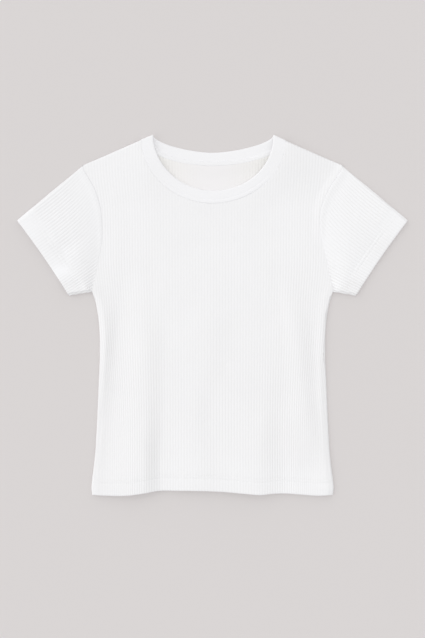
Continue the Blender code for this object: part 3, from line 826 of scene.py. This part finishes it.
def sleeve_ring(side, along, distance, fold):
    """One ring of a sleeve: upper cloth, top fold, under cloth, underarm fold."""
    lift = smoothstep(along, 0, 1)
    cuff_height = HEM_HEIGHT + (0 if side > 0 else LEFT_SPRING - RIGHT_SPRING)
    top_height = SHOULDER_HEIGHT + (cuff_height - SHOULDER_HEIGHT) * lift
    under_height = EDGE_HEIGHT + (cuff_height + 0.0006 - EDGE_HEIGHT) * lift
    top_radius, under_radius = (top_height - WALL) / 2, (under_height - WALL) / 2
    ring_top = CUFF_TOP - top_edge * distance / (top_edge @ cuff_out)
    ring_bottom = CUFF_BOTTOM - underarm_edge * distance / (underarm_edge @ cuff_out)
    width = armhole_reach + (np.linalg.norm(ring_bottom - ring_top) - armhole_reach) * along
    top_away = np.array([top_edge[1], -top_edge[0], 0]) / np.linalg.norm(top_edge)
    under_away = np.array([-underarm_edge[1], underarm_edge[0], 0])
    under_away /= np.linalg.norm(underarm_edge)
    top_clear, under_clear = (WALL / 2 + top_radius) / width, (WALL / 2 + under_radius) / width

    upper = np.linspace(1 - under_clear, top_clear, UPPER_POINTS)[1:-1]
    turns = np.radians(np.linspace(0, 180, TURN_POINTS))
    lower = np.linspace(top_clear, 1 - under_clear, LOWER_POINTS)[1:-1]
    top_fold = (WALL / 2 + top_radius * (1 - np.sin(turns))) / width
    under_fold = (WALL / 2 + under_radius * (1 - np.sin(turns))) / width
    shares = np.concatenate([upper, top_fold, lower, 1 - under_fold[::-1]])
    top_z = top_height / 2 + top_radius * np.cos(turns)
    under_z = under_height / 2 + under_radius * np.cos(turns)
    z = np.concatenate([sleeve_height(side, along, upper, width, distance), top_z,
                        np.full(len(lower), WALL / 2), under_z[::-1]])
    bent = np.sin(turns)[:, None]
    straight = np.cos(turns)[:, None]
    normals = np.concatenate([
        np.tile(UP, (len(upper), 1)), top_away * bent + UP * straight,
        np.tile(-UP, (len(lower), 1)), (under_away * bent + UP * straight)[::-1]])

    y = SHOULDER_Y - armhole_reach * shares
    # Its end is tucked under the panels at the shoulder, so that the corner is closed.
    tucked = 0.0018 * (1 - smoothstep(shares, 0, 0.04))
    armhole = np.stack([half_width(y, side) + 0.00003 - tucked, y, 0 * y], 1)
    bow = CUFF_BOW * 4 * shares * (1 - shares)
    cuff = ring_top + (ring_bottom - ring_top) * shares[:, None] - cuff_out * bow[:, None]
    ring = armhole + (cuff - armhole) * along
    ring[:, 2] = z
    ring -= normals * TURN_RADIUS * (1 - math.cos(fold))
    ring += cuff_out * TURN_RADIUS * math.sin(fold)
    rib, inward = sleeve_rib(ring * [1, 1, 0], side)
    from_seam = np.linalg.norm((ring - armhole)[:, :2], axis=1)
    ring[:, 0] *= side
    return ring, np.stack([rib, inward], 1), from_seam, shares


def make_sleeve(name, node, side, rib_depth, plain):
    """A flattened tube of cloth with its cuff turned inside.

    side is 1 on the right and -1 on the left. plain is how white the sleeve is above its
    cuff.
    """
    steps = [(along, CUFF_DEPTH, 0) for along in np.linspace(0, 1, 62)]
    steps += [(1, d, 0) for d in np.arange(CUFF_DEPTH - 0.0009, 0.0160, -0.0009)]
    steps += [(1, d, 0) for d in np.linspace(0.0145, TURN_START, 6)]
    steps += [(1, TURN_START, a) for a in np.radians([30, 60, 90, 120, 150, 180])]
    steps += [(1, d, math.pi) for d in (CUFF_DEPTH * 0.5, CUFF_DEPTH - 0.001)]
    rings = [sleeve_ring(side, *step) for step in steps]
    middle, knit, from_seam, share = [np.array(each) for each in zip(*rings)]
    along = np.array([step[0] for step in steps])[:, None]
    at_cuff = smoothstep(along, 0.93, 1)
    low = smoothstep(share, 0.66, 0.88)
    # Ribs are flat in the seam, shallow on the cuff, and stand out towards the underarm.
    depth = 0.15 + 0.30 * smoothstep(from_seam, 0, 0.005) + 0.55 * smoothstep(from_seam, 0, 0.050)
    cuff_depth = 0.30 + 0.35 * smoothstep(share, 0.10, 0.32)
    depth = depth + (cuff_depth - depth) * at_cuff
    depth = rib_depth * (depth + (1.30 - depth) * low)
    # A patch on the left cuff has flatter ribs and is whiter.
    flat_white_patch = bump(share - 0.70, 0.065) * (side < 0)
    depth = depth * (1 - 0.8 * flat_white_patch * at_cuff)
    # The cuff is whiter than the sleeve, in soft patches.
    patches = 0.6 - 0.35 * bump(share - 0.45, 0.17) + 0.45 * flat_white_patch
    patches = patches * (1 - smoothstep(share, 0.78, 0.88)) * (0.8 if side > 0 else 1)
    whiteness = plain + (patches - plain) * (1 - smoothstep(knit[..., 1], 0.019, 0.027))
    if side > 0:
        middle, knit = middle[:, ::-1], knit[:, ::-1]
        depth, whiteness = depth[:, ::-1], whiteness[:, ::-1]
    sleeve = cloth_wall(name, middle, knit, depth, np.clip(whiteness, 0, 1), closed=True)
    sleeve.data.materials.append(white_rib)
    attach(sleeve, "root")
    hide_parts(node)
    lines = []
    for row in CUFF_ROWS:
        # The upper cloth's points come first, and the thread stops short of both folds.
        upper = sleeve_ring(side, 1, row.inset, 0)[0][6:UPPER_POINTS - 8]
        lines.append(upper + UP * (WALL / 2 + THREAD_PROUD))
    stitches = thread_rows(name + "_stitches", lines)


make_sleeve("left_sleeve", "sleeve_left", -1, rib_depth=0.00032, plain=0.36)
make_sleeve("right_sleeve", "sleeve_right", 1, rib_depth=0.00035, plain=0.44)


# ---- Neckband ---------------------------------------------------------------------------
# A strip of finer rib, folded in half along its length and sewn to the neckline with the
# fold towards the neck. At both shoulders it folds over from the front to the back.

BAND_PITCH = 0.0023
BAND_COURSE = 0.0010
BAND_DEPTH = 0.00012               # of its ribs
BAND_HALF = WALL + 0.0002          # half the folded strip's thickness
BAND_WIDTH = 0.018                 # from the seam to the fold, about
TIP_LIFT = 0.0004                  # the front's free edge stands off at the shoulders
SEAM_STRIP = 0.0052                # the seam's edges lie inside the strip up to here
QUARTER_POINTS = 600               # along a quarter of the neck
FRONT_QUARTER, BACK_QUARTER = math.radians(87.2), math.radians(81.5)
FOLD_LEVELS = 29                   # round the fold at a shoulder
# At each shoulder end the fold is set in by so much, and rounds out again by so much.
FoldEnd = namedtuple("FoldEnd", "inset most")
SEAM_FOLD = FoldEnd(0.0014, 0.0006)
FREE_FOLD = FoldEnd(0.0010, 0.0010)


def neckline_points(arc, angles, height):
    """Points of a quarter neckline, at angles from the middle of the neck."""
    power = 2 / arc.roundness
    x = arc.half_width * np.sin(angles) ** power
    y = arc.shoulder_y - arc.depth * np.clip(np.cos(angles), 0, 1) ** power
    return np.stack([x, y, height + 0 * x], 1)


def half_band(front_seam_arc, front_free_arc, back_seam_arc, back_free_arc):
    """Half of the strip's seam line, its free line and its thickness direction."""
    front_angles = np.linspace(0, FRONT_QUARTER, QUARTER_POINTS)
    back_angles = np.linspace(0, BACK_QUARTER, QUARTER_POINTS)
    low = WALL + 0.0004 + BAND_HALF
    low = low - 0.0006 * smoothstep(front_angles, math.radians(28), math.radians(50))
    stand = low + TIP_LIFT * smoothstep(front_angles, math.radians(15), math.radians(78))
    front_seam = neckline_points(front_seam_arc, front_angles, low)
    front_free = neckline_points(front_free_arc, front_angles, stand)
    for line in (front_seam, front_free):
        line[:, 2] += neck_lift(line[:, 0], line[:, 1])
    back_seam = neckline_points(back_seam_arc, back_angles, BAND_HALF)
    back_free = neckline_points(back_free_arc, back_angles, BAND_HALF)
    seam_end = np.array([front_seam_arc.half_width, front_seam_arc.shoulder_y, 0])
    free_end = np.array([front_free_arc.half_width, front_free_arc.shoulder_y, 0])
    end_line = (free_end - seam_end) / np.linalg.norm(free_end - seam_end)
    end_away = np.array([end_line[1], -end_line[0], 0])
    turns = np.radians(np.linspace(0, 180, FOLD_LEVELS + 2)[1:-1])[:, None]
    fold_normal = end_away * np.sin(turns) + UP * np.cos(turns)

    def turned(end, high, fold_end):
        """The fold at a shoulder, from the front's height down to the back's."""
        reach = (high - BAND_HALF) / 2
        away = np.sin(turns) * min(reach, fold_end.most) - fold_end.inset
        return end + end_away * away + UP * (BAND_HALF + reach + np.cos(turns) * reach)

    seam_turn = turned(seam_end, front_seam[-1, 2], SEAM_FOLD)
    free_turn = turned(free_end, front_free[-1, 2], FREE_FOLD)
    seam = np.concatenate([front_seam, seam_turn, back_seam[::-1]])
    free = np.concatenate([front_free, free_turn, back_free[::-1]])
    normal = np.concatenate([np.tile(UP, (QUARTER_POINTS, 1)), fold_normal,
                             np.tile(-UP, (QUARTER_POINTS, 1))])
    return seam, free, normal


def band_rings():
    """The strip's seam line, its free line and its thickness direction, all round."""
    lines = (FRONT_SEAM, FRONT_FREE, BACK_SEAM, BACK_FREE)
    right = half_band(*[line.right for line in lines])
    left = half_band(*[line.left for line in lines])
    return [np.concatenate([a, b[-2:0:-1] * [-1, 1, 1]]) for a, b in zip(right, left)]


def band_middle():
    """Grid of points in the middle of the folded strip's wall, and their knit places."""
    seam, free, normal = band_rings()
    centre = (seam + free) / 2
    steps = np.linalg.norm(np.diff(centre, axis=0, append=centre[:1]), axis=1)
    length = np.concatenate([[0], np.cumsum(steps)])
    ribs = round(length[-1] / BAND_PITCH)
    even = np.linspace(0, length[-1], ribs * RIB_STEPS + 1)[:-1]

    def evenly(rows):
        rows = np.concatenate([rows, rows[:1]])
        return np.stack([np.interp(even, length, axis) for axis in rows.T], 1)

    seam, free, normal = evenly(seam), evenly(free), evenly(normal)
    normal /= np.linalg.norm(normal, axis=1, keepdims=True)
    width = np.linalg.norm(free - seam, axis=1)
    across = (free - seam) / width[:, None]
    rib = even / length[-1] * ribs * BAND_PITCH
    flat = width - TURN_START
    # Its cross-section: how far across each row lies, up or down, and out round the fold.
    outer = np.concatenate([[0, 0.0008, 0.0030], np.arange(0.0044, 0.0066, 0.0004),
                            [0.0085, 0.0105, 0.0120, 0.0132, 0.0143, 0.0153, 0.0162]])
    profile = [(share, TURN_RADIUS, 0) for share in np.append(outer / BAND_WIDTH, 1)]
    profile += [(1, TURN_RADIUS * math.cos(a), math.sin(a))
                for a in np.radians([30, 60, 90, 120, 150])]
    profile += [(share, -TURN_RADIUS, 0) for share in np.linspace(1, 0, 7)]
    # The seam's edges press through round the front and fade out at the sides.
    low_down = 1 - smoothstep(np.abs(seam[:, 0]), 0.070, 0.098)
    grid, places = [], []
    for share, lift, out in profile:
        reach = flat * share + TURN_RADIUS * out - (0.0004 * (1 - low_down) if share == 0 else 0)
        if lift > 0 and out == 0:
            strip = 0.0002 * (1 - smoothstep(reach, SEAM_STRIP - 0.0005, SEAM_STRIP + 0.0005))
            line = 0.0002 * bump(reach - SEAM_STRIP - 0.0006, 0.0005)
            edge = (0.0001 + 0.0003 * low_down) * bump(reach, 0.0008)
            lift = lift + ((strip - line) * low_down - edge)[:, None]
        grid.append(seam + across * reach[:, None] + normal * lift)
        places.append(np.stack([rib, reach], 1))
    return np.array(grid), np.array(places)


band_points, band_knit = band_middle()
band_cloth = knit_cloth("white_fine_rib_knit", (0.897, 0.895, 0.911, 1), (0.867, 0.865, 0.875, 1),
                        (0.92, 0.92, 0.93, 1), BAND_PITCH, BAND_COURSE, painted_valley_shade=0.02,
                        loop_height=0.00006, valley_height=0.00002)
neckband = cloth_wall("neckband_strip", band_points, band_knit, BAND_DEPTH, 0, BAND_PITCH,
                      closed=True)
neckband.data.materials.append(band_cloth)
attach(neckband, "root")
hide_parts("neckband")


# ---- Neck seam edge ---------------------------------------------------------------------
# Inside the back of the neck the seam's edges are pressed up against the band, overlocked
# together with slanting threads.

EDGE_STRIP = 0.0060
EDGE_START = -0.0004               # it reaches just past the seam
edge_angles = np.radians(np.linspace(-72, 72, 241))


def across_neck(line):
    """Points of a whole neckline, just above the band."""
    left = neckline_points(line.left, np.abs(edge_angles), 2 * BAND_HALF) * [-1, 1, 1]
    right = neckline_points(line.right, np.abs(edge_angles), 2 * BAND_HALF)
    return np.where(edge_angles[:, None] > 0, right, left)


edge_low = across_neck(BACK_SEAM)
edge_high = across_neck(BACK_FREE)
edge_across = edge_high - edge_low
edge_across /= np.linalg.norm(edge_across, axis=1, keepdims=True)
edge_points, edge_places = [], []
for reach in np.linspace(EDGE_START, EDGE_STRIP, 8):
    across_strip = (reach - EDGE_START) / (EDGE_STRIP - EDGE_START)
    rounded = 0.0002 + 0.0002 * math.sin(math.pi * across_strip)
    edge_points.append(edge_low + edge_across * reach + UP * rounded)
    edge_places.append(np.stack([edge_low[:, 0], np.full(len(edge_low), reach)], 1))
seam_edge = cloth_wall("neck_seam_edge", np.array(edge_points)[::-1],
                       np.array(edge_places)[::-1], 0, 0, BAND_PITCH, skip=(1, 1))
seam_edge.data.materials.append(band_cloth)
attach(seam_edge, "root")

OVERLOCK_PITCH, OVERLOCK_THREAD = 0.0012, 0.00016
OVERLOCK_SLANT = math.radians(74)
overlock_line = edge_low + edge_across * (EDGE_STRIP / 2) + UP * (0.0003 + WALL / 2)
overlock = thread_rows("neck_overlock", [overlock_line], length=EDGE_STRIP * 1.05,
                       pitch=OVERLOCK_PITCH, thread=OVERLOCK_THREAD, slant=OVERLOCK_SLANT)


# ---- Table, light and camera ------------------------------------------------------------
# A plain pale table top in a bright room, with a soft window beyond the neck and one on the
# left. The camera looks straight down.

table_graph = Graph("pale_table", Roughness=0.9)
table_spot = table_graph.node("TexCoord", {}, output=3)
table_cloud = table_graph.node("TexNoise", {}, Vector=table_spot, Scale=3.0, Detail=2.0)
table_graph.feed("Base Color", table_graph.blend(
    table_cloud, (0.677, 0.647, 0.642, 1), (0.669, 0.641, 0.636, 1)))

bpy.ops.object.select_all(action="DESELECT")
bpy.ops.mesh.primitive_plane_add(size=6, location=(0, 0, 0))
table = bpy.context.object
table.name = "table"
table.data.materials.append(table_graph.material)

scene = bpy.context.scene
scene.view_settings.view_transform = "Standard"
scene.world = bpy.data.worlds.new("room")
scene.world.use_nodes = True
room = scene.world.node_tree.nodes["Background"]
room.inputs["Color"].default_value = (1.0, 1.0, 1.0, 1)
room.inputs["Strength"].default_value = 0.75


def soft_light(name, energy, spread, tilt, towards, shadows):
    """A large soft light: its tilt from straight above, and its turn left of the top."""
    lamp = bpy.data.lights.new(name, "SUN")
    lamp.energy = energy
    lamp.angle = math.radians(spread)
    lamp.use_shadow = shadows
    light = bpy.data.objects.new(name, lamp)
    scene.collection.objects.link(light)
    tilt, towards = math.radians(tilt), math.radians(towards)
    place = Vector((-math.sin(tilt) * math.sin(towards), math.sin(tilt) * math.cos(towards),
                    math.cos(tilt)))
    light.rotation_mode = "QUATERNION"
    light.rotation_quaternion = place.to_track_quat("Z", "Y")


soft_light("window", energy=0.35, spread=105, tilt=55, towards=2, shadows=True)
soft_light("side_fill", energy=0.79, spread=60, tilt=45, towards=80, shadows=False)
soft_light("side_window", energy=0.16, spread=60, tilt=45, towards=80, shadows=True)

FRAME_HEIGHT = 0.9816              # how much of the table the camera sees, top to bottom
FRAME_MIDDLE = -0.0062
camera_data = bpy.data.cameras.new("camera")
camera_data.sensor_width = 36
camera_data.lens = 100
camera = bpy.data.objects.new("camera", camera_data)
scene.collection.objects.link(camera)
camera_height = FRAME_HEIGHT * camera_data.lens / camera_data.sensor_width
camera.location = (0.0, FRAME_MIDDLE, camera_height)
scene.camera = camera
